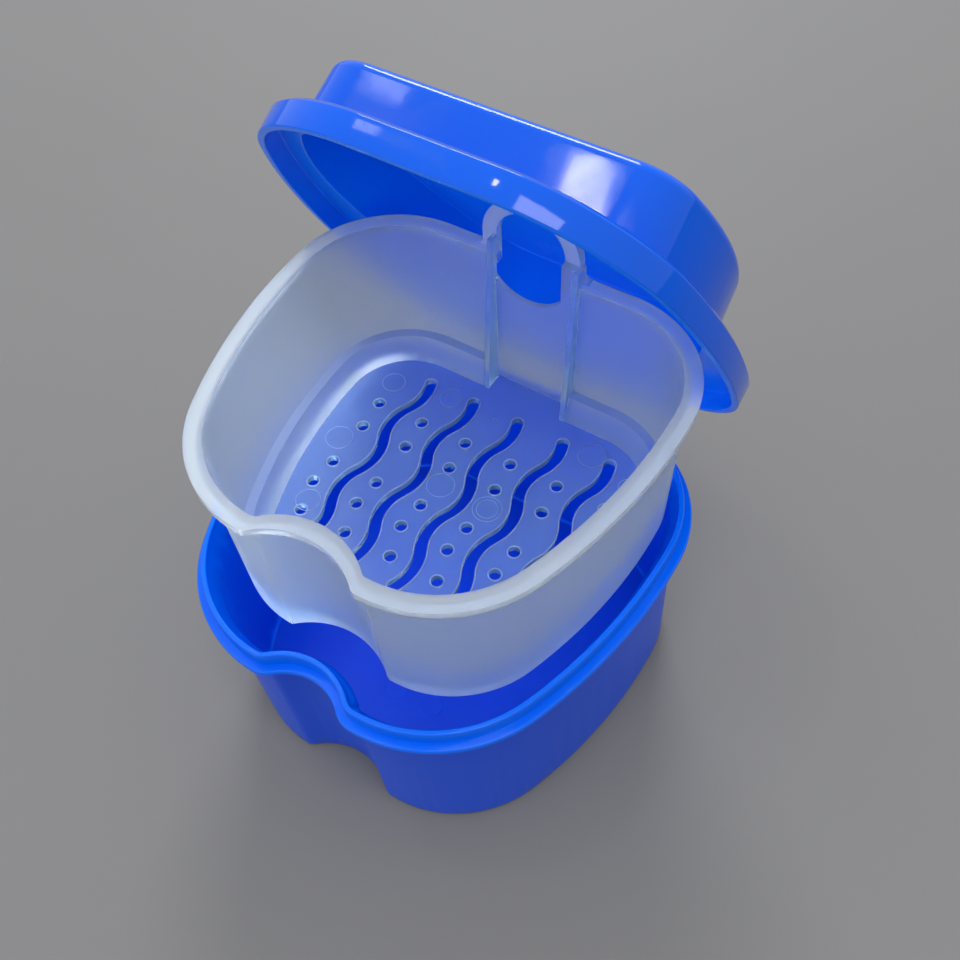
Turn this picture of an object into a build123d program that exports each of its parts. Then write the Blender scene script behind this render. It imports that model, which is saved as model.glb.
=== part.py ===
from build123d import *
from math import acos, asin, atan, cos, degrees, pi, radians, sin, tan
import os

# A denture soaking case with its three loose pieces set out as when it has just been opened: the tub
# stands on the table, the rinsing basket is lifted over it and the lid is tipped back over the handle.
# Millimetres, +Z up, the thumb notch faces -Y, the handle +Y, the origin is in the middle of the tub's
# flat underside.

# ---- Outline shared by the three pieces, taken at the tub's rim ----
case_width = 88.6
case_length = 82.1
notch_radius = 13.9
notch_turn = 41.7
lobe_radius = 3.4
least_lobe_radius = 1.0
front_turn = 69.5
side_radius = 106.6
back_radius = 23.8

# ---- Tub ----
base_height = 47.6
base_wall = 1.35
base_floor = 1.9
base_wall_set_in = 0.4
base_draft = 0.4
base_lip_wall = 1.2
base_lip_overhang = 0.9
flange_reach = 2.55
flange_height = 1.1
lip_height = 3.4
base_foot_bevel = 1.2
base_floor_bevel = 0.9
flange_bevel = 0.35

# ---- Rinsing basket ----
basket_depth = 37.1
basket_wall = 1.2
basket_floor = 1.7
basket_side_gap = 0.45
basket_draft = 0.95
basket_rim_reach = 2.1
basket_rim_height = 1.7
step_rise = 6.1
step_set_in = 8.0
floor_set_in = 9.8

# ---- Drain pattern in the basket's floor ----
slot_pitch = 11.0
slot_width = 2.8
slot_end_gap = 5.3
wave_pitch = 18.9
wave_swing = 1.2
crest_from_slot_end = 3.5
pattern_offset = 1.6
hole_diameter = 2.7
hole_rows = (15.8, 8.8, -1.9, -8.1, -15.0)
hole_margin = 4.0

# ---- Basket handle ----
handle_offset = -1.0
handle_width = 21.2
handle_rise = 4.0
handle_wall = 1.9
finger_hole_width = 15.0
finger_hole_side_drop = 5.6
finger_hole_bottom_radius = 9.0
handle_foot_round = 2.0
rib_offset = 0.6
rib_spacing = 18.6
rib_width = 1.2
rib_depth = 2.0
rib_foot_set_in = 11.2

# ---- Lid ----
lid_wall = 1.4
lid_fit = 0.4
skirt_height = 5.6
dome_height = 13.3
dome_side_set_in = 6.5
dome_front_set_in = 13.8
dome_front_flat = 25.0
dome_front_turn = 63.0
dome_side_radius = 50.0
dome_back_radius = 22.7
dome_draft = 3.0
dome_top_round = 2.2
skirt_bevel = 0.9
handle_gap = 0.6

# ---- Where the opened pieces stand: the basket's foot dips into the tub, the lid leans over the handle ----
basket_right_shift = 2.2
basket_back_shift = 3.9
basket_dip = 2.05
lid_left_shift = 2.0
lid_before_handle = 13.85
lid_above_rim = 5.65

# ---- Sizes that follow ----
flange_bottom = base_height - lip_height - flange_height
flange_top = base_height - lip_height
base_inner = base_wall_set_in + base_wall
basket_rim_set_in = base_inner + basket_side_gap
basket_wall_set_in = basket_rim_set_in + basket_rim_reach
basket_foot_set_in = basket_wall_set_in + basket_depth * tan(radians(basket_draft))
handle_back = case_length / 2 - basket_rim_set_in
basket_place = Plane(
    origin=(basket_right_shift, basket_back_shift, base_height + basket_depth - basket_dip),
    x_dir=(1, 0.017, -0.034),
    z_dir=(0.034, 0.006, 1),
)
lid_place = Plane(
    origin=basket_place.origin + Vector(-lid_left_shift, handle_back - lid_before_handle, lid_above_rim),
    x_dir=(1, 0.004, -0.034),
    z_dir=(0.012, 0.888, 0.46),
)
lid_inner = lid_fit + base_lip_overhang
skirt_reach = lid_inner + lid_wall
dome_half_width = case_width / 2 + skirt_reach - dome_side_set_in
dome_front = case_length / 2 + skirt_reach - dome_front_set_in
dome_back = handle_back + handle_gap + lid_wall
wave_angle = 2 * degrees(atan(4 * wave_swing / wave_pitch))
wave_radius = wave_pitch / 4 / sin(radians(wave_angle))
notch_reach = notch_radius + lobe_radius
notch_depth = notch_reach * (1 - cos(radians(notch_turn)))
slot_count = int((case_width - 2 * floor_set_in) / slot_pitch) - 1
slot_back = case_length / 2 - floor_set_in - slot_end_gap
slot_bends = int((slot_back + case_length / 2 - notch_depth - floor_set_in) / (wave_pitch / 2))
wave_crest = slot_back - crest_from_slot_end


def outline(half_width, front, back, front_flat, corner_turn, side_arc, back_arc, notch_arc=0.0):
    """A plan of tangent arcs, mirrored in YZ: front edge, front corner, bowed side, back corner, back edge."""
    corner_arc = (half_width - front_flat - side_arc * (1 - sin(radians(corner_turn)))) / sin(radians(corner_turn))
    length_left = back - front - corner_arc * (1 - cos(radians(corner_turn)))
    heel_cosine = (side_arc * cos(radians(corner_turn)) + back_arc - length_left) / (side_arc - back_arc)
    heel_heading = degrees(acos(heel_cosine))
    with BuildSketch(mode=Mode.PRIVATE) as plan:
        with BuildLine():
            if notch_arc > 0:
                lobe_arc = front_flat / sin(radians(notch_turn)) - notch_arc
                notch = JernArc((0, front + notch_depth), (1, 0), notch_arc, -notch_turn)
                front_edge = JernArc(notch @ 1, notch % 1, lobe_arc, notch_turn)
            else:
                front_edge = Line((0, front), (front_flat, front))
            corner = JernArc(front_edge @ 1, (1, 0), corner_arc, corner_turn)
            side = JernArc(corner @ 1, corner % 1, side_arc, heel_heading - corner_turn)
            heel = JernArc(side @ 1, side % 1, back_arc, 180 - heel_heading)
            Line(heel @ 1, (0, back))
            mirror(about=Plane.YZ)
        make_face()
    return plan.sketch


def case_plan(grow, notched=True):
    """The case's plan offset outwards by grow; the lid's runs straight across the notch."""
    lobe_arc = max(lobe_radius + grow, least_lobe_radius)
    return outline(
        case_width / 2 + grow,
        -case_length / 2 - grow,
        case_length / 2 + grow,
        notch_reach * sin(radians(notch_turn)),
        front_turn,
        side_radius + grow,
        back_radius + grow,
        notch_reach - lobe_arc if notched else 0.0,
    )


def dome_plan(inset):
    """The dome's plan moved inwards by inset."""
    return outline(
        dome_half_width - inset,
        -dome_front + inset,
        dome_back - inset,
        dome_front_flat,
        dome_front_turn,
        dome_side_radius - inset,
        dome_back_radius - inset,
    )


def wave_offset(y):
    return wave_swing * cos(2 * pi * (y - wave_crest) / wave_pitch)


# ---- Tub: drafted wall, flange and raised lip ----
with BuildPart() as base:
    draft_run = tan(radians(base_draft))
    with BuildSketch(Plane.XY):
        add(case_plan(-base_wall_set_in - flange_bottom * draft_run))
    extrude(amount=flange_bottom, taper=-base_draft)
    chamfer(base.faces().sort_by(Axis.Z)[0].edges(), base_foot_bevel)
    with BuildSketch(Plane.XY.offset(flange_bottom)):
        add(case_plan(flange_reach))
    extrude(amount=flange_height)
    chamfer(base.faces().sort_by(Axis.Z)[-1].edges(), flange_bevel)
    with BuildSketch(Plane.XY.offset(flange_top)):
        add(case_plan(base_lip_overhang))
    extrude(amount=lip_height)
    with BuildSketch(Plane.XY.offset(base_floor)):
        add(case_plan(-base_inner - (flange_bottom - base_floor) * draft_run))
    extrude(amount=flange_bottom - base_floor, taper=-base_draft, mode=Mode.SUBTRACT)
    chamfer(base.faces().filter_by(Plane.XY).sort_by(Axis.Z)[1].edges(), base_floor_bevel)
    lead_in = base_inner - (base_lip_wall - base_lip_overhang)
    with BuildSketch(Plane.XY.offset(flange_bottom)):
        add(case_plan(-base_inner))
    extrude(amount=lead_in, taper=-45, mode=Mode.SUBTRACT)
    with BuildSketch(Plane.XY.offset(flange_bottom + lead_in)):
        add(case_plan(base_lip_overhang - base_lip_wall))
    extrude(until=Until.LAST, mode=Mode.SUBTRACT)
    chamfer(base.faces().sort_by(Axis.Z)[-1].edges(), base_lip_wall * 0.3)

base.part.label = "base"

# ---- Basket: drafted shell with a rim, a step above the floor, drain slots and a tab handle ----
floor_top = -basket_depth + basket_floor
step_top = floor_top + step_rise
floor_place = basket_place.offset(floor_top)
handle_place = Plane(
    origin=basket_place.from_local_coords((handle_offset, handle_back, 0)),
    x_dir=basket_place.x_dir,
    z_dir=-basket_place.y_dir,
)
inner_back = case_length / 2 - basket_wall_set_in - basket_wall
rib_place = Plane(
    origin=basket_place.from_local_coords((rib_offset, 0, 0)),
    x_dir=basket_place.y_dir,
    z_dir=basket_place.x_dir,
)

with BuildLine(mode=Mode.PRIVATE) as slot_wave:
    lead_angle = degrees(asin((slot_back - wave_crest) / wave_radius))
    lead = Vector(cos(radians(lead_angle)), sin(radians(lead_angle)))
    crest_centre = Vector(wave_swing - wave_radius, wave_crest)
    start = crest_centre + lead * wave_radius
    bend = JernArc(start, (lead.Y, -lead.X), wave_radius, -lead_angle - wave_angle)
    for bend_number in range(1, slot_bends):
        turn = 2 * wave_angle if bend_number % 2 else -2 * wave_angle
        bend = JernArc(bend @ 1, bend % 1, wave_radius, turn)

drain_area = case_plan(-floor_set_in - hole_margin).face()
hole_columns = [pattern_offset + slot_pitch * (column - slot_count / 2) for column in range(slot_count + 1)]
hole_spots = [Vector(x + wave_offset(y), y) for x in hole_columns for y in hole_rows]
hole_spots = [spot for spot in hole_spots if drain_area.is_inside(spot)]

with BuildPart() as basket:
    with BuildSketch(basket_place.offset(-basket_depth)):
        add(case_plan(-basket_foot_set_in))
    extrude(amount=basket_depth, taper=-basket_draft)
    with BuildSketch(basket_place.offset(-basket_rim_height)):
        add(case_plan(-basket_rim_set_in))
    extrude(amount=basket_rim_height)
    with BuildSketch(handle_place) as tab:
        Rectangle(handle_width + 4 * handle_foot_round, basket_rim_height, align=(Align.CENTER, Align.MAX))
        Rectangle(handle_width, handle_rise, align=(Align.CENTER, Align.MIN))
        fillet(tab.vertices().group_by(Axis.Y)[1].sort_by(Axis.X)[1:3], handle_foot_round)
        with Locations((0, handle_rise)):
            Circle(handle_width / 2)
    extrude(amount=handle_wall)
    with BuildSketch(basket_place.offset(step_top)):
        add(case_plan(-basket_wall_set_in - basket_wall + step_top * tan(radians(basket_draft))))
    extrude(amount=-step_top, taper=-basket_draft, mode=Mode.SUBTRACT)
    with BuildSketch(floor_place):
        add(case_plan(-floor_set_in))
    extrude(amount=step_rise, taper=-degrees(atan((floor_set_in - step_set_in) / step_rise)), mode=Mode.SUBTRACT)
    with BuildSketch(rib_place):
        with BuildLine():
            Polyline(
                (handle_back - handle_wall / 2, -basket_rim_height),
                (handle_back - handle_wall / 2, handle_rise),
                (inner_back - rib_depth, handle_rise),
                (case_length / 2 - rib_foot_set_in, floor_top),
                (inner_back + basket_wall / 4, floor_top),
                (inner_back + basket_wall / 4, -basket_rim_height),
                close=True,
            )
        make_face()
    extrude(amount=rib_spacing / 2 + rib_width / 2, both=True)
    with BuildSketch(rib_place):
        with BuildLine():
            Polyline(
                (inner_back, handle_rise),
                (inner_back - rib_depth, handle_rise),
                (case_length / 2 - rib_foot_set_in, floor_top),
                (inner_back, floor_top),
                close=True,
            )
        make_face()
    extrude(amount=rib_spacing / 2 - rib_width / 2, both=True, mode=Mode.SUBTRACT)
    with BuildSketch(floor_place):
        with GridLocations(slot_pitch, 0, slot_count, 1):
            with Locations((pattern_offset, 0)):
                SlotArc(slot_wave.wire(), slot_width)
        with Locations(*hole_spots):
            Circle(hole_diameter / 2)
    extrude(amount=-basket_floor, mode=Mode.SUBTRACT)
    with BuildSketch(handle_place) as finger_hole:
        with BuildLine():
            arch = CenterArc((0, handle_rise), finger_hole_width / 2, 0, 180)
            left = Line(arch @ 1, (-finger_hole_width / 2, -finger_hole_side_drop))
            right = Line(arch @ 0, (finger_hole_width / 2, -finger_hole_side_drop))
            RadiusArc(left @ 1, right @ 1, -finger_hole_bottom_radius)
        make_face()
    extrude(amount=basket_rim_reach + basket_wall + rib_depth, mode=Mode.SUBTRACT)

basket.part.label = "basket"

# ---- Lid: skirt, rounded shoulder and a dome that clears the handle ----
lid_axis = Axis(lid_place.origin, lid_place.z_dir)
shoulder_under = skirt_height - lid_wall
with BuildPart() as lid:
    with BuildSketch(lid_place):
        add(case_plan(skirt_reach, notched=False))
    extrude(amount=skirt_height)
    chamfer(lid.faces().sort_by(lid_axis)[-1].edges(), skirt_bevel)
    with BuildSketch(lid_place.offset(skirt_height)):
        add(dome_plan(0))
    extrude(amount=dome_height, taper=dome_draft)
    fillet(lid.faces().sort_by(lid_axis)[-1].edges(), dome_top_round)
    with BuildSketch(lid_place):
        add(case_plan(lid_inner, notched=False))
    extrude(amount=shoulder_under, mode=Mode.SUBTRACT)
    with BuildSketch(lid_place.offset(shoulder_under)):
        add(dome_plan(lid_wall))
    extrude(amount=dome_height, taper=dome_draft, mode=Mode.SUBTRACT)

lid.part.label = "lid"

os.makedirs("parts", exist_ok=True)
for piece in (base, basket, lid):
    export_step(piece.part, "parts/" + piece.part.label + ".step")
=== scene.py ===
from math import radians

import bmesh
import bpy
from bpy.props import FloatProperty, FloatVectorProperty, IntProperty, PointerProperty
from bpy.types import Operator, Panel, PropertyGroup
from mathutils import Matrix, Vector


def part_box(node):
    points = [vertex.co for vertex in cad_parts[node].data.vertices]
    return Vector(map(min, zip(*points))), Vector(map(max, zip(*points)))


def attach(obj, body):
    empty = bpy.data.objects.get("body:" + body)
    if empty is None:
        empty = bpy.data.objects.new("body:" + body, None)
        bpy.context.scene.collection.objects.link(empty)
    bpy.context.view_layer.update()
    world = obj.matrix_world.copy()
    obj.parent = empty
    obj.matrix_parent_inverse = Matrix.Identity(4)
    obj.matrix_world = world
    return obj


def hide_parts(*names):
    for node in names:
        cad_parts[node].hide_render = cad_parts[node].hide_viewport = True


bl_info = {
    "name": "Denture case",
    "version": (1, 0, 0),
    "blender": (4, 5, 0),
    "location": "3D View > Sidebar > Denture case",
    "description": "Finishes the opened denture case: blue tub, frosted rinsing basket and domed lid",
    "category": "Object",
}

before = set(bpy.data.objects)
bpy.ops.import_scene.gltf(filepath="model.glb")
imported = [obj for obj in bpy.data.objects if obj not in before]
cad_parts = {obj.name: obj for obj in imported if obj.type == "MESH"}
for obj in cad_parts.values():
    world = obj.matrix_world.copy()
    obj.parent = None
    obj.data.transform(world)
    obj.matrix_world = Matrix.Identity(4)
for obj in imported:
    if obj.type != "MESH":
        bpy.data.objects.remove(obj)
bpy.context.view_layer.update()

MM = 0.001

# The basket's own frame: the middle of its rim, and the ways up, right and back from there.
BASKET_RIM = Vector((2.2, 3.9, 82.65)) * MM
BASKET_UP = Vector((0.034, 0.006, 1.0)).normalized()
BASKET_ACROSS = Vector((1, 0.017, -0.034))
BASKET_RIGHT = (BASKET_ACROSS - BASKET_UP * BASKET_ACROSS.dot(BASKET_UP)).normalized()
BASKET_BACK = BASKET_UP.cross(BASKET_RIGHT)

# Places in that frame. The front edge of each rib runs from RIB_TOP to RIB_FOOT, given as back and up.
FLOOR_DEPTH = 35.4 * MM
RIM_BAND = 2.0 * MM
BACK_WALL_FROM = 10 * MM
HANDLE_HALF_WIDTH = 12 * MM
RIB_OFFSET = 0.6 * MM
RIB_SPACING = 18.6 * MM
RIB_TOP = Vector((33.55, 4.0)) * MM
RIB_FOOT = Vector((29.85, -35.4)) * MM

# How far the polished band of lip and flange reaches down from the tub's top, and its floor's thickness.
TUB_BAND = 4.6 * MM
TUB_FLOOR = 1.9 * MM

# The lid's crown faces back and up, away from the basket. The point that tells the lid's inside, drawn
# in a lighter blue as painted light, from its outside lies LID_OPENING from its middle, on the side of its
# open edge.
LID_CROWN = Vector((0.012, 0.888, 0.46)).normalized()
LID_OPENING = 30 * MM

# The ejector rings: how far they stand over the face they lie on, and the radius of their line.
MARK_LIFT = 0.02 * MM
MARK_LINE = 0.1 * MM

# The camera fitted to the photograph: its place, its ways right, down and ahead, and its lens in millimetres.
CAMERA_PLACE = Vector((83.159, -86.834, 223.301)) * MM
CAMERA_RIGHT = Vector((0.83929, 0.53888, -0.07218))
CAMERA_DOWN = Vector((0.40327, -0.70605, -0.58212))
CAMERA_AHEAD = Vector((-0.36465, 0.45946, -0.80989))
CAMERA_SENSOR = 36
CAMERA_LENS = CAMERA_SENSOR * 1060 / 960

# What the soft lights look at, and how far the floor lies below the tub, so that their faces don't mix.
CASE_MIDDLE = Vector((0, 0.01, 0.06))
FLOOR_GAP = 0.2 * MM


def on_basket_floor(x, y, lift=0.0):
    """A point on the drain floor, x right and y back in millimetres, or over it by lift in metres."""
    return BASKET_RIM + BASKET_RIGHT * x * MM + BASKET_BACK * y * MM - BASKET_UP * (FLOOR_DEPTH - lift)


def srgb(code):
    """A colour written as sRGB hex, turned to linear red, green and blue."""
    parts = [int(code[i:i + 2], 16) / 255 for i in (1, 3, 5)]
    return tuple(v / 12.92 if v <= 0.04045 else ((v + 0.055) / 1.055) ** 2.4 for v in parts)


# ---------------------------------------------------------------- sizes and colours a user may change
class TubSettings(PropertyGroup):
    wall_colour: FloatVectorProperty(
        name="Wall colour", description="Dyed polypropylene of the tub's satin outer wall",
        subtype="COLOR", size=3, min=0, max=1, default=srgb("#0048D0"))
    # The rim and inside are the same plastic as the wall, drawn a lighter blue: the difference is painted
    # light.
    rim_and_inside_painted_light_colour: FloatVectorProperty(
        name="Rim colour", description="The same plastic where it is polished: rim and inside",
        subtype="COLOR", size=3, min=0, max=1, default=srgb("#0066EC"))
    edge_radius: FloatProperty(
        name="Edge radius", description="Round that the mould leaves on the tub's edges",
        default=0.3 * MM, min=0, max=1 * MM, unit="LENGTH", precision=5)


class BasketSettings(PropertyGroup):
    # The cool blue of this white is partly the plastic's own tint and partly painted blue light from the tub
    # and lid around it.
    colour: FloatVectorProperty(
        name="Plastic colour", description="Undyed polypropylene of the rinsing basket",
        subtype="COLOR", size=3, min=0, max=1, default=srgb("#EAF4FF"))
    haze: FloatProperty(
        name="Wall haze",
        description="Share of the light that the frosted wall scatters instead of letting through",
        default=0.1, min=0, max=1, subtype="FACTOR")
    floor_haze: FloatProperty(
        name="Floor haze", description="The same share for the polished drain floor",
        default=0.16, min=0, max=1, subtype="FACTOR")
    edge_haze: FloatProperty(
        name="Edge haze", description="The same share for the thick rim and the drain's beads",
        default=0.36, min=0, max=1, subtype="FACTOR")
    edge_radius: FloatProperty(
        name="Edge radius", description="Round on the basket's rim and handle",
        default=0.5 * MM, min=0, max=1 * MM, unit="LENGTH", precision=5)
    drain_radius: FloatProperty(
        name="Drain edge radius", description="Round on the slots, the holes and the foot",
        default=0.2 * MM, min=0, max=0.5 * MM, unit="LENGTH", precision=5)
    rib_relief: FloatProperty(
        name="Rib relief", description="How much shallower the ribs are than the plain solid's",
        default=1.2 * MM, min=0, max=1.3 * MM, unit="LENGTH", precision=5)
    # The floor's cyan tint is painted light: it stands in for blue light from the tub coming up through the
    # clear floor. The ribs and handle take it too.
    floor_painted_blue_light_tint: FloatVectorProperty(
        name="Floor tint", description="What the drain floor gives the light that comes back from the tub",
        subtype="COLOR", size=3, min=0, max=1, default=srgb("#C8E6FF"))
    lip_radius: FloatProperty(
        name="Drain lip", description="Radius of the bead round each drain slot and hole",
        default=0.17 * MM, min=0, max=1 * MM, unit="LENGTH", precision=5)
    lip_sides: IntProperty(
        name="Drain lip sides", description="Faces round the drain bead's section", default=6, min=3, max=16)


class LidSettings(PropertyGroup):
    colour: FloatVectorProperty(
        name="Lid colour", description="Dyed polypropylene of the polished lid",
        subtype="COLOR", size=3, min=0, max=1, default=srgb("#0058D6"))
    # The inside's lighter blue is painted light: it stands in for light that comes through the lid's thin
    # wall.
    inside_painted_light_colour: FloatVectorProperty(
        name="Inside colour", description="The same plastic inside, where it is lit through its own wall",
        subtype="COLOR", size=3, min=0, max=1, default=srgb("#007CFF"))
    edge_radius: FloatProperty(
        name="Edge radius", description="Round on the lid's open edge and shoulder",
        default=0.3 * MM, min=0, max=1 * MM, unit="LENGTH", precision=5)


class StageSettings(PropertyGroup):
    floor_colour: FloatVectorProperty(
        name="Floor colour", description="Plain pale floor",
        subtype="COLOR", size=3, min=0, max=1, default=srgb("#787674"))
    floor_size: FloatProperty(
        name="Floor size", description="Edge of the square floor",
        default=6.0, min=0.5, max=20, unit="LENGTH")


# ---------------------------------------------------------------- shading helpers
def add_node(tree, kind, settings=None, inputs=None):
    """Adds a node, sets its properties, and sets or links its inputs."""
    made = tree.nodes.new(kind)
    for name, value in (settings or {}).items():
        setattr(made, name, value)
    for name, value in (inputs or {}).items():
        if isinstance(value, bpy.types.NodeSocket):
            tree.links.new(value, made.inputs[name])
        else:
            made.inputs[name].default_value = value
    return made


def new_material(name):
    """An empty node material and its tree."""
    material = bpy.data.materials.new(name)
    material.use_nodes = True
    material.node_tree.nodes.clear()
    return material, material.node_tree


def finish_material(tree, shader):
    """Links the shader to the material's output."""
    add_node(tree, "ShaderNodeOutputMaterial", inputs={"Surface": shader})


def scaled(colour, amount):
    """A colour made lighter or darker by a factor, as red, green, blue and alpha."""
    return (*(min(1.0, v * amount) for v in colour), 1)


def satin_blue_polypropylene(colour):
    """Dyed polypropylene from a spark-eroded mould: an even, deep blue with a soft, wide sheen."""
    material, tree = new_material("satin_blue_polypropylene")
    place = add_node(tree, "ShaderNodeTexCoord").outputs["Object"]
    # the melt's flow leaves clouds some 14 mm across
    flow = add_node(tree, "ShaderNodeTexNoise", inputs={
        "Vector": place, "Scale": 1 / (14 * MM), "Detail": 3.0}).outputs["Fac"]
    tint = add_node(tree, "ShaderNodeMix", {"data_type": "RGBA"}, {
        "Factor": flow, "A": scaled(colour, 0.94), "B": scaled(colour, 1.06)}).outputs["Result"]
    gloss = add_node(tree, "ShaderNodeMapRange", inputs={
        "Value": flow, "To Min": 0.34, "To Max": 0.42}).outputs["Result"]
    # the eroded grain is 0.15 mm; drawn at 0.3 mm so that it shows
    grain = add_node(tree, "ShaderNodeTexNoise", inputs={
        "Vector": place, "Scale": 1 / (0.3 * MM), "Detail": 1.0})
    bump = add_node(tree, "ShaderNodeBump", inputs={
        "Height": grain.outputs["Fac"], "Strength": 0.12, "Distance": 0.05 * MM})
    shader = add_node(tree, "ShaderNodeBsdfPrincipled", inputs={
        "Base Color": tint, "Roughness": gloss, "IOR": 1.49, "Specular IOR Level": 0.3,
        "Subsurface Weight": 0.12, "Subsurface Scale": 1.2 * MM, "Subsurface Radius": (0.3, 0.6, 1.0),
        "Sheen Weight": 0.06, "Sheen Roughness": 0.45, "Sheen Tint": (0.3, 0.5, 1.0, 1),
        "Normal": bump.outputs["Normal"]})
    finish_material(tree, shader.outputs["BSDF"])
    return material


def polished_blue_polypropylene(name, colour, smooth=0.14):
    """Dyed polypropylene from a polished mould: bright glossy blue, its reflections a little wavy."""
    material, tree = new_material(name)
    place = add_node(tree, "ShaderNodeTexCoord").outputs["Object"]
    flow = add_node(tree, "ShaderNodeTexNoise", inputs={
        "Vector": place, "Scale": 1 / (18 * MM), "Detail": 2.0}).outputs["Fac"]
    tint = add_node(tree, "ShaderNodeMix", {"data_type": "RGBA"}, {
        "Factor": flow, "A": scaled(colour, 0.96), "B": scaled(colour, 1.04)}).outputs["Result"]
    # cooling waves 9 mm apart bend the reflections
    waves = add_node(tree, "ShaderNodeTexNoise", inputs={
        "Vector": place, "Scale": 1 / (9 * MM), "Detail": 1.0})
    swell = add_node(tree, "ShaderNodeBump", inputs={
        "Height": waves.outputs["Fac"], "Strength": 0.25, "Distance": 0.25 * MM})
    # handling scuffs, 0.25 mm, in patches of about 11 mm
    specks = add_node(tree, "ShaderNodeTexNoise", inputs={
        "Vector": place, "Scale": 1 / (0.25 * MM), "Detail": 1.0})
    speck = add_node(tree, "ShaderNodeMapRange", inputs={
        "Value": specks.outputs["Fac"], "From Min": 0.58, "From Max": 0.7}).outputs["Result"]
    patches = add_node(tree, "ShaderNodeTexNoise", inputs={
        "Vector": place, "Scale": 1 / (11 * MM), "Detail": 1.0})
    patch = add_node(tree, "ShaderNodeMapRange", inputs={
        "Value": patches.outputs["Fac"], "From Min": 0.55, "From Max": 0.7}).outputs["Result"]
    wear = add_node(tree, "ShaderNodeMath", {"operation": "MULTIPLY"}, {0: speck, 1: patch}).outputs["Value"]
    bump = add_node(tree, "ShaderNodeBump", inputs={
        "Height": wear, "Strength": 0.25, "Distance": 0.02 * MM, "Normal": swell.outputs["Normal"]})
    gloss = add_node(tree, "ShaderNodeMapRange", inputs={
        "Value": wear, "To Min": smooth, "To Max": smooth + 0.12}).outputs["Result"]
    shader = add_node(tree, "ShaderNodeBsdfPrincipled", inputs={
        "Base Color": tint, "Roughness": gloss, "IOR": 1.49, "Specular IOR Level": 0.28,
        "Subsurface Weight": 0.15, "Subsurface Scale": 1.5 * MM, "Subsurface Radius": (0.2, 0.6, 1.0),
        "Normal": bump.outputs["Normal"]})
    finish_material(tree, shader.outputs["BSDF"])
    return material


def natural_polypropylene(name, colour, haze, rough, frosting=0.1):
    """Undyed polypropylene; the blue in its given colour is partly its own cool white and partly painted
    light from the blue parts round it: haze makes it milky, roughness blurs what stands behind it.
    """
    material, tree = new_material(name)
    place = add_node(tree, "ShaderNodeTexCoord").outputs["Object"]
    cloud = add_node(tree, "ShaderNodeTexNoise", inputs={
        "Vector": place, "Scale": 1 / (12 * MM), "Detail": 2.0}).outputs["Fac"]
    tint = add_node(tree, "ShaderNodeMix", {"data_type": "RGBA"}, {
        "Factor": cloud, "A": scaled(colour, 0.98), "B": (*colour, 1)}).outputs["Result"]
    blur = add_node(tree, "ShaderNodeMapRange", inputs={
        "Value": cloud, "To Min": rough - 0.03, "To Max": rough + 0.03}).outputs["Result"]
    frost = add_node(tree, "ShaderNodeTexNoise", inputs={
        "Vector": place, "Scale": 1 / (0.35 * MM), "Detail": 1.0})
    bump = add_node(tree, "ShaderNodeBump", inputs={
        "Height": frost.outputs["Fac"], "Strength": frosting, "Distance": 0.04 * MM})
    shader = add_node(tree, "ShaderNodeBsdfPrincipled", inputs={
        "Base Color": tint, "Roughness": blur, "IOR": 1.49, "Transmission Weight": 1 - haze,
        "Subsurface Weight": 1.0, "Subsurface Scale": 2.5 * MM, "Subsurface Radius": (1.0, 1.0, 1.0),
        "Normal": bump.outputs["Normal"]})
    # lamps reach what stands behind the thin wall, as through the real one
    path = add_node(tree, "ShaderNodeLightPath")
    clear = add_node(tree, "ShaderNodeBsdfTransparent", inputs={"Color": scaled(colour, 1.0)})
    mix = add_node(tree, "ShaderNodeMixShader", inputs={
        0: path.outputs["Is Shadow Ray"], 1: shader.outputs["BSDF"], 2: clear.outputs["BSDF"]})
    finish_material(tree, mix.outputs["Shader"])
    return material


def pale_floor(colour):
    """A plain painted board: matt, with faint cloudiness."""
    material, tree = new_material("pale_matt_floor")
    place = add_node(tree, "ShaderNodeTexCoord").outputs["Object"]
    cloud = add_node(tree, "ShaderNodeTexNoise", inputs={
        "Vector": place, "Scale": 1 / (90 * MM), "Detail": 3.0}).outputs["Fac"]
    tint = add_node(tree, "ShaderNodeMix", {"data_type": "RGBA"}, {
        "Factor": cloud, "A": scaled(colour, 0.97), "B": scaled(colour, 1.03)}).outputs["Result"]
    shader = add_node(tree, "ShaderNodeBsdfPrincipled", inputs={
        "Base Color": tint, "Roughness": 0.7, "IOR": 1.45})
    finish_material(tree, shader.outputs["BSDF"])
    return material


# ---------------------------------------------------------------- mesh helpers
def new_object(name, mesh):
    """A new object in the scene that shows the mesh."""
    made = bpy.data.objects.new(name, mesh)
    bpy.context.scene.collection.objects.link(made)
    return made


def settle(piece):
    """Turns the piece with its modifiers into a plain mesh and drops the modifiers."""
    ready = bpy.data.meshes.new_from_object(piece.evaluated_get(bpy.context.evaluated_depsgraph_get()))
    piece.modifiers.clear()
    piece.data = ready
    ready.name = piece.name


def merged_copy(node):
    """The moulding's faces with their doubles merged and flat areas cleaned of needless edges."""
    shell = bmesh.new()
    shell.from_mesh(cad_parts[node].data)
    bmesh.ops.remove_doubles(shell, verts=shell.verts, dist=0.002 * MM)
    bmesh.ops.dissolve_limit(shell, angle_limit=radians(0.3), verts=shell.verts, edges=shell.edges)
    return shell


def round_edges(shell, radius, chosen=lambda edge: True, least_turn=50):
    """Rounds each chosen edge that turns by more than least_turn degrees, as a mould does."""
    sharp = [e for e in shell.edges
             if len(e.link_faces) == 2 and e.calc_face_angle(0) > radians(least_turn) and chosen(e)]
    bmesh.ops.bevel(shell, geom=sharp, offset=radius, offset_type="OFFSET", segments=2, profile=0.5,
                    affect="EDGES", clamp_overlap=True)


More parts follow.
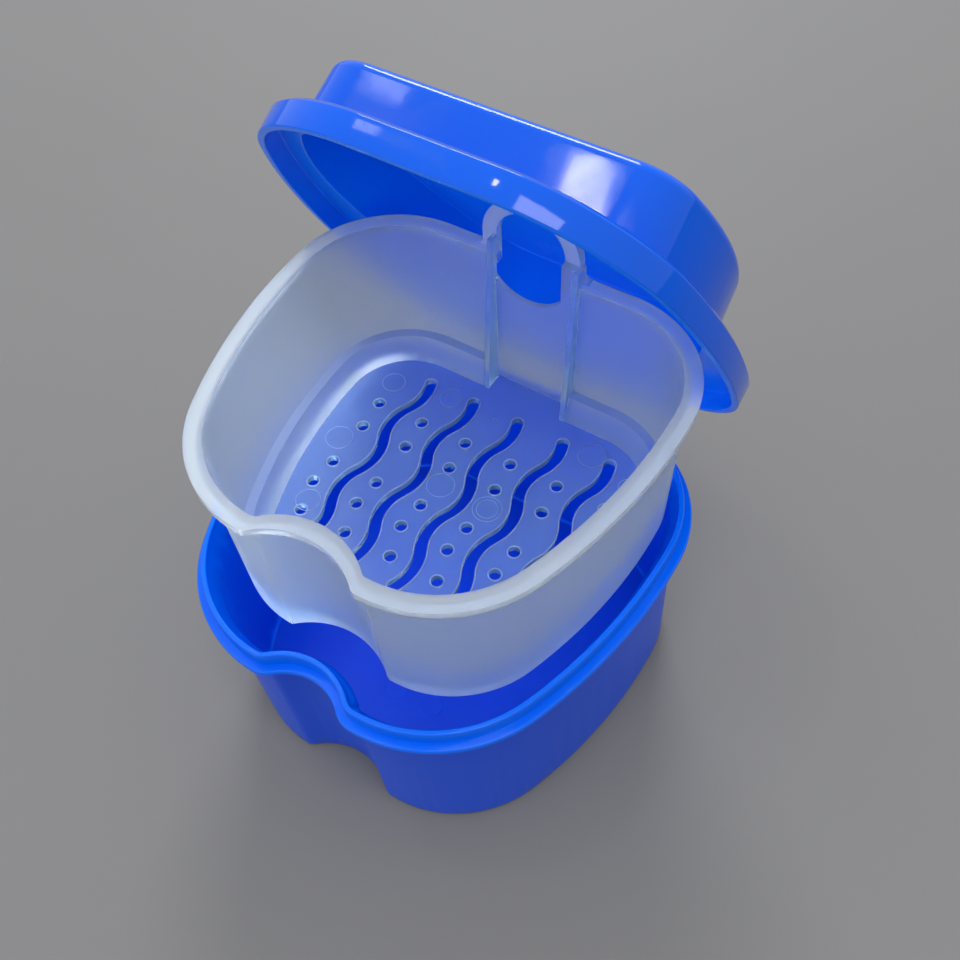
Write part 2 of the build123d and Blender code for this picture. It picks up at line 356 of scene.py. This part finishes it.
def slim_ribs(shell, amount):
    """Sets the fronts of the basket's two ribs back towards the wall: the real ones are shallower."""
    half_rib, off_slope, off_top = 0.7 * MM, 0.2 * MM, 0.05 * MM
    for corner in shell.verts:
        spot = corner.co - BASKET_RIM
        back, rise = spot.dot(BASKET_BACK), spot.dot(BASKET_UP)
        share = (RIB_TOP.y - rise) / (RIB_TOP.y - RIB_FOOT.y)
        front = RIB_TOP.x + (RIB_FOOT.x - RIB_TOP.x) * share
        at_rib = abs(abs(spot.dot(BASKET_RIGHT) - RIB_OFFSET) - RIB_SPACING / 2) < half_rib
        if at_rib and (abs(back - front) < off_slope or abs(back - RIB_TOP.x) < off_top):
            corner.co += BASKET_BACK * amount


def moulded_piece(name, node, body, rounds, materials, choose, reshape=None):
    """A smooth-shaded moulding in place of its plain node, with a material for each face."""
    shell = merged_copy(node)
    if reshape:
        reshape(shell)
    for each in rounds:
        round_edges(shell, *each)
    mesh = bpy.data.meshes.new(name)
    for face in shell.faces:
        face.smooth = True
        face.material_index = choose(face)
    shell.to_mesh(mesh)
    shell.free()
    for material in materials:
        mesh.materials.append(material)
    piece = new_object(name, mesh)
    corners = piece.modifiers.new("flat faces stay flat", "WEIGHTED_NORMAL")
    corners.keep_sharp = True
    corners.weight = 80
    settle(piece)
    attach(piece, body)
    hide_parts(node)
    return piece


def lip_nodes():
    """Nodes that sweep a small round section along the edges given."""
    tree = bpy.data.node_groups.new("swept_lip", "GeometryNodeTree")
    for label, kind, way in (("Geometry", "NodeSocketGeometry", "INPUT"),
                             ("Radius", "NodeSocketFloat", "INPUT"),
                             ("Sides", "NodeSocketInt", "INPUT"),
                             ("Material", "NodeSocketMaterial", "INPUT"),
                             ("Geometry", "NodeSocketGeometry", "OUTPUT")):
        tree.interface.new_socket(label, in_out=way, socket_type=kind)
    given = add_node(tree, "NodeGroupInput")
    path = add_node(tree, "GeometryNodeMeshToCurve", inputs={"Mesh": given.outputs["Geometry"]})
    section = add_node(tree, "GeometryNodeCurvePrimitiveCircle", inputs={
        "Radius": given.outputs["Radius"], "Resolution": given.outputs["Sides"]})
    sweep = add_node(tree, "GeometryNodeCurveToMesh", inputs={
        "Curve": path.outputs["Curve"], "Profile Curve": section.outputs["Curve"]})
    smooth = add_node(tree, "GeometryNodeSetShadeSmooth", inputs={"Geometry": sweep.outputs["Mesh"]})
    real = add_node(tree, "GeometryNodeRealizeInstances", inputs={"Geometry": smooth.outputs["Geometry"]})
    coat = add_node(tree, "GeometryNodeSetMaterial", inputs={
        "Geometry": real.outputs["Geometry"], "Material": given.outputs["Material"]})
    add_node(tree, "NodeGroupOutput", inputs={"Geometry": coat.outputs["Geometry"]})
    return tree


def mark_nodes():
    """Nodes that lay a thin ring on each point, with its ring_radius and turned to its ring_turn."""
    tree = bpy.data.node_groups.new("ejector_rings", "GeometryNodeTree")
    for label, kind, way in (("Geometry", "NodeSocketGeometry", "INPUT"),
                             ("Line radius", "NodeSocketFloat", "INPUT"),
                             ("Material", "NodeSocketMaterial", "INPUT"),
                             ("Geometry", "NodeSocketGeometry", "OUTPUT")):
        tree.interface.new_socket(label, in_out=way, socket_type=kind)
    given = add_node(tree, "NodeGroupInput")
    points = add_node(tree, "GeometryNodeMeshToPoints", inputs={"Mesh": given.outputs["Geometry"]})
    radius = add_node(tree, "GeometryNodeInputNamedAttribute", {"data_type": "FLOAT"}, {
        "Name": "ring_radius"})
    turn = add_node(tree, "GeometryNodeInputNamedAttribute", {"data_type": "FLOAT_VECTOR"}, {
        "Name": "ring_turn"})
    ring = add_node(tree, "GeometryNodeCurvePrimitiveCircle", inputs={"Radius": 1.0, "Resolution": 48})
    placed = add_node(tree, "GeometryNodeInstanceOnPoints", inputs={
        "Points": points.outputs["Points"], "Instance": ring.outputs["Curve"],
        "Rotation": turn.outputs["Attribute"], "Scale": radius.outputs["Attribute"]})
    real = add_node(tree, "GeometryNodeRealizeInstances", inputs={"Geometry": placed.outputs["Instances"]})
    section = add_node(tree, "GeometryNodeCurvePrimitiveCircle", inputs={
        "Radius": given.outputs["Line radius"], "Resolution": 5})
    sweep = add_node(tree, "GeometryNodeCurveToMesh", inputs={
        "Curve": real.outputs["Geometry"], "Profile Curve": section.outputs["Curve"]})
    smooth = add_node(tree, "GeometryNodeSetShadeSmooth", inputs={"Geometry": sweep.outputs["Mesh"]})
    coat = add_node(tree, "GeometryNodeSetMaterial", inputs={
        "Geometry": smooth.outputs["Geometry"], "Material": given.outputs["Material"]})
    add_node(tree, "NodeGroupOutput", inputs={"Geometry": coat.outputs["Geometry"]})
    return tree


def grow(piece, tree, values):
    """Runs the node tree on the piece with the named inputs set, and keeps its result as a plain mesh."""
    modifier = piece.modifiers.new(tree.name, "NODES")
    modifier.node_group = tree
    sockets = {item.name: item.identifier for item in tree.interface.items_tree if item.in_out == "INPUT"}
    for name, value in values.items():
        modifier[sockets[name]] = value
    settle(piece)
    if not piece.data.polygons:
        raise RuntimeError(piece.name + " came out empty")


def drain_edges():
    """The closed edges of the slots and holes where they meet the drain floor's top."""
    shell = merged_copy("basket")
    level = on_basket_floor(0, 0).dot(BASKET_UP)

    def at_floor(point):
        """Whether a point lies on the drain floor's top."""
        return abs(point.dot(BASKET_UP) - level) < 0.05 * MM

    rim = []
    for edge in shell.edges:
        if len(edge.link_faces) == 2 and all(at_floor(v.co) for v in edge.verts):
            wall, floor = sorted(abs(f.normal.dot(BASKET_UP)) for f in edge.link_faces)
            if wall < 0.02 and floor > 0.99:
                rim.append(edge)
    # an edge belongs to a closed slot or hole only if another such edge goes on from each of its ends
    meets = {}
    for edge in rim:
        for vert in edge.verts:
            meets[vert] = meets.get(vert, 0) + 1
    rim = [e for e in rim if all(meets[v] == 2 for v in e.verts)]
    order = {v: i for i, v in enumerate({v: None for e in rim for v in e.verts})}
    mesh = bpy.data.meshes.new("drain_edges")
    mesh.from_pydata([v.co.copy() for v in order], [tuple(order[v] for v in e.verts) for e in rim], [])
    shell.free()
    return mesh


# ---------------------------------------------------------------- pieces
class DENTURECASE_OT_tub(Operator):
    """Make the blue tub: satin outer wall, polished rim and inside"""
    bl_idname = "denturecase.tub"
    bl_label = "Tub"

    def execute(self, context):
        sizes = context.scene.denture_tub
        low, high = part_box("base")
        middle = (low + high) / 2
        band_foot = high.z - TUB_BAND

        def finish(face):
            """Index of the satin wall and underside, or of the polished band and inside, drawn lighter as
            painted light.
            """
            centre = face.calc_center_median()
            out = Vector((centre.x - middle.x, centre.y - middle.y, 0)).dot(face.normal)
            return 0 if centre.z < band_foot and (out > 0 or face.normal.z < -0.5) else 1

        moulded_piece("tub_shell", "base", "tub", [(sizes.edge_radius,)], [
            satin_blue_polypropylene(sizes.wall_colour),
            # painted light: the rim and inside get a lighter blue than the wall
            polished_blue_polypropylene("polished_blue_polypropylene", sizes.rim_and_inside_painted_light_colour),
        ], finish)
        return {"FINISHED"}


class DENTURECASE_OT_basket(Operator):
    """Make the frosted rinsing basket with its handle"""
    bl_idname = "denturecase.basket"
    bl_label = "Rinsing basket"

    def execute(self, context):
        sizes = context.scene.denture_basket

        def finish(face):
            """Index of the frosted wall, of the polished floor, ribs and handle, or of the thick rim."""
            depths = [(BASKET_RIM - corner.co).dot(BASKET_UP) for corner in face.verts]
            spots = [corner.co - BASKET_RIM for corner in face.verts]
            sides = [spot.dot(BASKET_RIGHT) - RIB_OFFSET for spot in spots]
            on_floor = min(depths) > FLOOR_DEPTH - 0.3 * MM
            on_rim = max(depths) < RIM_BAND
            at_back = min(spot.dot(BASKET_BACK) for spot in spots) > BACK_WALL_FROM
            on_rib = at_back and all(abs(abs(side) - RIB_SPACING / 2) < 0.8 * MM for side in sides)
            on_handle = at_back and on_rim and max(abs(side) for side in sides) < HANDLE_HALF_WIDTH
            # the floor, ribs and handle take the painted blue light tint
            if on_floor or on_rib or on_handle:
                return 1
            return 2 if on_rim else 0

        def high(edge):
            """Whether an edge is on the rim or the handle, not down in the basket."""
            return all((BASKET_RIM - corner.co).dot(BASKET_UP) < RIM_BAND + 0.5 * MM for corner in edge.verts)

        moulded_piece("basket_shell", "basket", "basket", [
            (sizes.edge_radius, high), (sizes.drain_radius, lambda edge: not high(edge))], [
            natural_polypropylene("frosted_natural_polypropylene", sizes.colour, sizes.haze, 0.62),
            # painted light: the drain floor's cyan tint stands in for blue light from the tub
            natural_polypropylene(
                "polished_natural_polypropylene", sizes.floor_painted_blue_light_tint, sizes.floor_haze, 0.16, 0.04),
            natural_polypropylene("thick_natural_polypropylene", sizes.colour, sizes.edge_haze, 0.14, 0.02),
        ], finish, lambda shell: slim_ribs(shell, sizes.rib_relief))
        return {"FINISHED"}


class DENTURECASE_OT_drain_lips(Operator):
    """Make the bead round every drain slot and hole"""
    bl_idname = "denturecase.drain_lips"
    bl_label = "Drain lips"

    def execute(self, context):
        sizes = context.scene.denture_basket
        piece = new_object("drain_lips", drain_edges())
        grow(piece, lip_nodes(), {
            "Radius": sizes.lip_radius, "Sides": sizes.lip_sides,
            "Material": natural_polypropylene("glossy_natural_bead", sizes.colour, sizes.edge_haze, 0.2)})
        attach(piece, "basket")
        return {"FINISHED"}


class DENTURECASE_OT_ejector_marks(Operator):
    """Make the faint rings that the mould's ejector pins leave on the basket's and tub's floors"""
    bl_idname = "denturecase.ejector_marks"
    bl_label = "Ejector marks"

    def execute(self, context):
        sizes = context.scene.denture_basket
        # each ring's place, sideways and back, and its radius, in millimetres
        basket_marks = [(-27.2, 22.2, 2.5), (-13.8, 24.7, 2.5), (-28.7, 3.8, 2.9), (-24.8, -12.4, 2.6),
                        (-3.3, 4.2, 2.9), (8.0, 4.0, 3.0), (8.0, 4.0, 2.2), (19.9, 26.2, 3.0),
                        (30.2, 22.8, 2.2), (-2.3, 24.3, 0.45)]
        tub_marks = [(-1.5, -19.6, 2.4), (7.8, -19.2, 2.4), (-26, 14, 2.4), (26, 14, 2.4)]
        self.rings("basket_ejector_marks", "basket", "frosted_plastic",
                   [(on_basket_floor(x, y, MARK_LIFT), radius * MM) for x, y, radius in basket_marks],
                   BASKET_UP,
                   natural_polypropylene("glossy_natural_ring", sizes.colour, sizes.edge_haze, 0.2))
        tub_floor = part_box("base")[0].z + TUB_FLOOR + MARK_LIFT
        self.rings("tub_ejector_marks", "tub", "blue_plastic",
                   [(Vector((x * MM, y * MM, tub_floor)), radius * MM) for x, y, radius in tub_marks],
                   Vector((0, 0, 1)),
                   polished_blue_polypropylene("polished_blue_ring", context.scene.denture_tub.rim_and_inside_painted_light_colour))
        return {"FINISHED"}

    def rings(self, name, body, slot, marks, up, material):
        """Lays a ring on each mark, given as its place and radius, all square to the way up."""
        turns = list(up.to_track_quat("Z", "Y").to_euler()) * len(marks)
        mesh = bpy.data.meshes.new(name)
        mesh.from_pydata([place for place, _ in marks], [], [])
        mesh.attributes.new("ring_radius", "FLOAT", "POINT").data.foreach_set("value", [r for _, r in marks])
        mesh.attributes.new("ring_turn", "FLOAT_VECTOR", "POINT").data.foreach_set("vector", turns)
        piece = new_object(name, mesh)
        grow(piece, mark_nodes(), {"Line radius": MARK_LINE, "Material": material})
        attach(piece, body)


class DENTURECASE_OT_lid(Operator):
    """Make the glossy blue lid"""
    bl_idname = "denturecase.lid"
    bl_label = "Lid"

    def execute(self, context):
        sizes = context.scene.denture_lid
        low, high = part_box("lid")
        middle = (low + high) / 2

        def inside(face):
            """Index of the outer face, or of the inner one, which looks towards the lid's opening and takes
            the painted-light blue.
            """
            towards = middle - LID_CROWN * LID_OPENING - face.calc_center_median()
            return 1 if towards.dot(face.normal) > 0 else 0

        moulded_piece("lid_shell", "lid", "lid", [(sizes.edge_radius,)], [
            polished_blue_polypropylene("polished_lid_polypropylene", sizes.colour, 0.07),
            # painted light: the inside is the same plastic drawn a lighter blue than the outside
            polished_blue_polypropylene("polished_lid_inside_painted_light", sizes.inside_painted_light_colour, 0.2),
        ], inside)
        return {"FINISHED"}


class DENTURECASE_OT_stage(Operator):
    """Make the pale floor, the soft studio lights and the camera"""
    bl_idname = "denturecase.stage"
    bl_label = "Stage"

    def execute(self, context):
        scene = context.scene
        sizes = scene.denture_stage
        half = sizes.floor_size / 2
        mesh = bpy.data.meshes.new("pale_floor")
        corners = [(-half, -half, 0), (half, -half, 0), (half, half, 0), (-half, half, 0)]
        mesh.from_pydata(corners, [], [(0, 1, 2, 3)])
        mesh.materials.append(pale_floor(sizes.floor_colour))
        floor = new_object("pale_floor", mesh)
        floor.location.z = -FLOOR_GAP

        world = bpy.data.worlds.new("soft_room")
        world.use_nodes = True
        sky = world.node_tree.nodes["Background"].inputs
        sky["Color"].default_value = (*srgb("#EDF1F7"), 1)
        sky["Strength"].default_value = 0.9
        scene.world = world

        # each lamp's place and size in metres, and its power in watts
        self.softbox("window_light", (-0.48, 0.88, 0.80), (0.45, 0.35), 8.0, "#F8FBFF")
        self.softbox("room_fill", (-0.45, -1.00, 0.40), (1.1, 0.7), 2.4, "#EAF2FF")
        self.softbox("ceiling_lamp", (-0.248, -0.012, 0.917), (0.04, 0.07), 0.3, "#FFFFFF", aimed=False)
        self.softbox("wall_lamp", (-0.45, 0.06, 0.86), (0.05, 0.10), 0.12, "#FFFFFF", aimed=False)
        self.softbox("ceiling_panel", (0.20, -0.14, 0.93), (0.42, 0.20), 2.2, "#FFFFFF", aimed=False)

        camera = bpy.data.objects.new("photo_camera", bpy.data.cameras.new("photo_camera"))
        camera.data.sensor_width = CAMERA_SENSOR
        camera.data.lens = CAMERA_LENS
        camera.data.clip_start = 0.01
        turn = Matrix((CAMERA_RIGHT, -CAMERA_DOWN, -CAMERA_AHEAD)).transposed().to_4x4()
        camera.matrix_world = Matrix.Translation(CAMERA_PLACE) @ turn
        scene.collection.objects.link(camera)
        scene.camera = camera
        scene.view_settings.view_transform = "Standard"
        return {"FINISHED"}

    def softbox(self, name, place, size, power, colour, aimed=True):
        """An area light that looks at the case or, unaimed, straight down."""
        light = bpy.data.lights.new(name, "AREA")
        light.shape = "RECTANGLE"
        light.size, light.size_y = size
        light.energy = power
        light.color = srgb(colour)
        lamp = bpy.data.objects.new(name, light)
        lamp.location = place
        if aimed:
            lamp.rotation_euler = (CASE_MIDDLE - Vector(place)).to_track_quat("-Z", "Y").to_euler()
        bpy.context.scene.collection.objects.link(lamp)


class DENTURECASE_PT_panel(Panel):
    """The case's pieces and their sizes"""
    bl_idname = "DENTURECASE_PT_panel"
    bl_label = "Denture case"
    bl_space_type = "VIEW_3D"
    bl_region_type = "UI"
    bl_category = "Denture case"

    def draw(self, context):
        for holder, makers in (
            ("denture_tub", (DENTURECASE_OT_tub,)),
            ("denture_basket",
             (DENTURECASE_OT_basket, DENTURECASE_OT_drain_lips, DENTURECASE_OT_ejector_marks)),
            ("denture_lid", (DENTURECASE_OT_lid,)),
            ("denture_stage", (DENTURECASE_OT_stage,)),
        ):
            box = self.layout.box()
            settings = getattr(context.scene, holder)
            for name in settings.__annotations__:
                box.prop(settings, name)
            for maker in makers:
                box.operator(maker.bl_idname)


SETTINGS = {"denture_tub": TubSettings, "denture_basket": BasketSettings, "denture_lid": LidSettings,
            "denture_stage": StageSettings}
CLASSES = (*SETTINGS.values(), DENTURECASE_OT_tub, DENTURECASE_OT_basket, DENTURECASE_OT_drain_lips,
           DENTURECASE_OT_ejector_marks, DENTURECASE_OT_lid, DENTURECASE_OT_stage, DENTURECASE_PT_panel)


def register():
    for each in CLASSES:
        bpy.utils.register_class(each)
    for name, group in SETTINGS.items():
        setattr(bpy.types.Scene, name, PointerProperty(type=group))


def unregister():
    for name in SETTINGS:
        delattr(bpy.types.Scene, name)
    for each in reversed(CLASSES):
        bpy.utils.unregister_class(each)


def main():
    """Makes every piece through its operator."""
    register()
    bpy.ops.denturecase.stage()
    bpy.ops.denturecase.tub()
    bpy.ops.denturecase.basket()
    bpy.ops.denturecase.drain_lips()
    bpy.ops.denturecase.ejector_marks()
    bpy.ops.denturecase.lid()


if __name__ == "__main__":
    main()
